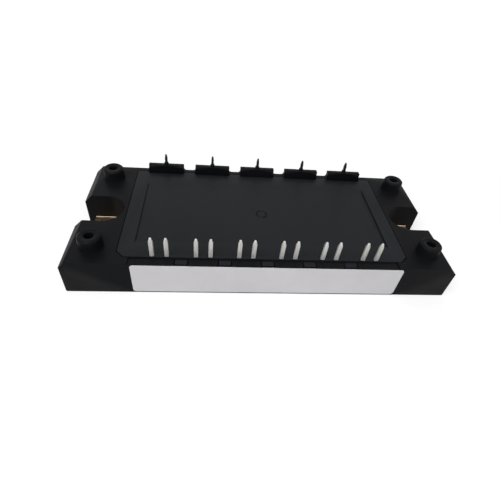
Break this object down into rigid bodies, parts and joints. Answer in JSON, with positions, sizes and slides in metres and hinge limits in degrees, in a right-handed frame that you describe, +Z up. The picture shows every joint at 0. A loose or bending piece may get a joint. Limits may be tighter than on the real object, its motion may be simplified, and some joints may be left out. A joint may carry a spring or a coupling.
{
  "type": "igbt module",
  "caption": "Flat six-pack power semiconductor module: black frame with four board posts, flush lid, two rows of solder pins, blank side label and metal base plate.",
  "frame": {"origin": "centre of the base plate's underside, on the mounting surface", "axes": "+X along the module's length, +Y towards the row of five power pins, +Z up out of the pins' side"},
  "size_m": [0.1076, 0.045, 0.0171],
  "materials": {
    "frame_plastic": "satin",
    "lid_plastic": "satin",
    "label_film": "matte",
    "pin_metal": "satin",
    "plate_metal": "satin",
    "copper": "satin",
    "solder": "satin",
    "ceramic": "matte",
    "silicon": "satin",
    "wire_metal": "satin",
    "gel": "gloss",
    "adhesive": "matte"
  },
  "bodies": {
    "root": {"base_plate": "plate_metal", "frame_adhesive": "adhesive", "frame": "frame_plastic", "lid": "lid_plastic", "label": "label_film", "control_pin_1": "pin_metal", "control_pin_2": "pin_metal", "control_pin_3": "pin_metal", "control_pin_4": "pin_metal", "control_pin_5": "pin_metal", "control_pin_6": "pin_metal", "control_pin_7": "pin_metal", "control_pin_8": "pin_metal", "control_pin_9": "pin_metal", "control_pin_10": "pin_metal", "control_pin_11": "pin_metal", "control_pin_12": "pin_metal", "power_pin_1": "pin_metal", "power_pin_2": "pin_metal", "power_pin_3": "pin_metal", "power_pin_4": "pin_metal", "power_pin_5": "pin_metal", "solder_layer_1": "solder", "solder_layer_2": "solder", "solder_layer_3": "solder", "lower_copper_1": "copper", "lower_copper_2": "copper", "lower_copper_3": "copper", "ceramic_plate_1": "ceramic", "ceramic_plate_2": "ceramic", "ceramic_plate_3": "ceramic", "copper_tracks_1": "copper", "copper_tracks_2": "copper", "copper_tracks_3": "copper", "igbt_chip_1": "silicon", "igbt_chip_2": "silicon", "igbt_chip_3": "silicon", "igbt_chip_4": "silicon", "igbt_chip_5": "silicon", "igbt_chip_6": "silicon", "diode_chip_1": "silicon", "diode_chip_2": "silicon", "diode_chip_3": "silicon", "diode_chip_4": "silicon", "diode_chip_5": "silicon", "diode_chip_6": "silicon", "chip_wires_1": "wire_metal", "chip_wires_2": "wire_metal", "chip_wires_3": "wire_metal", "control_pin_wires": "wire_metal", "power_pin_wires": "wire_metal", "silicone_gel": "gel"}
  },
  "joints": []
}
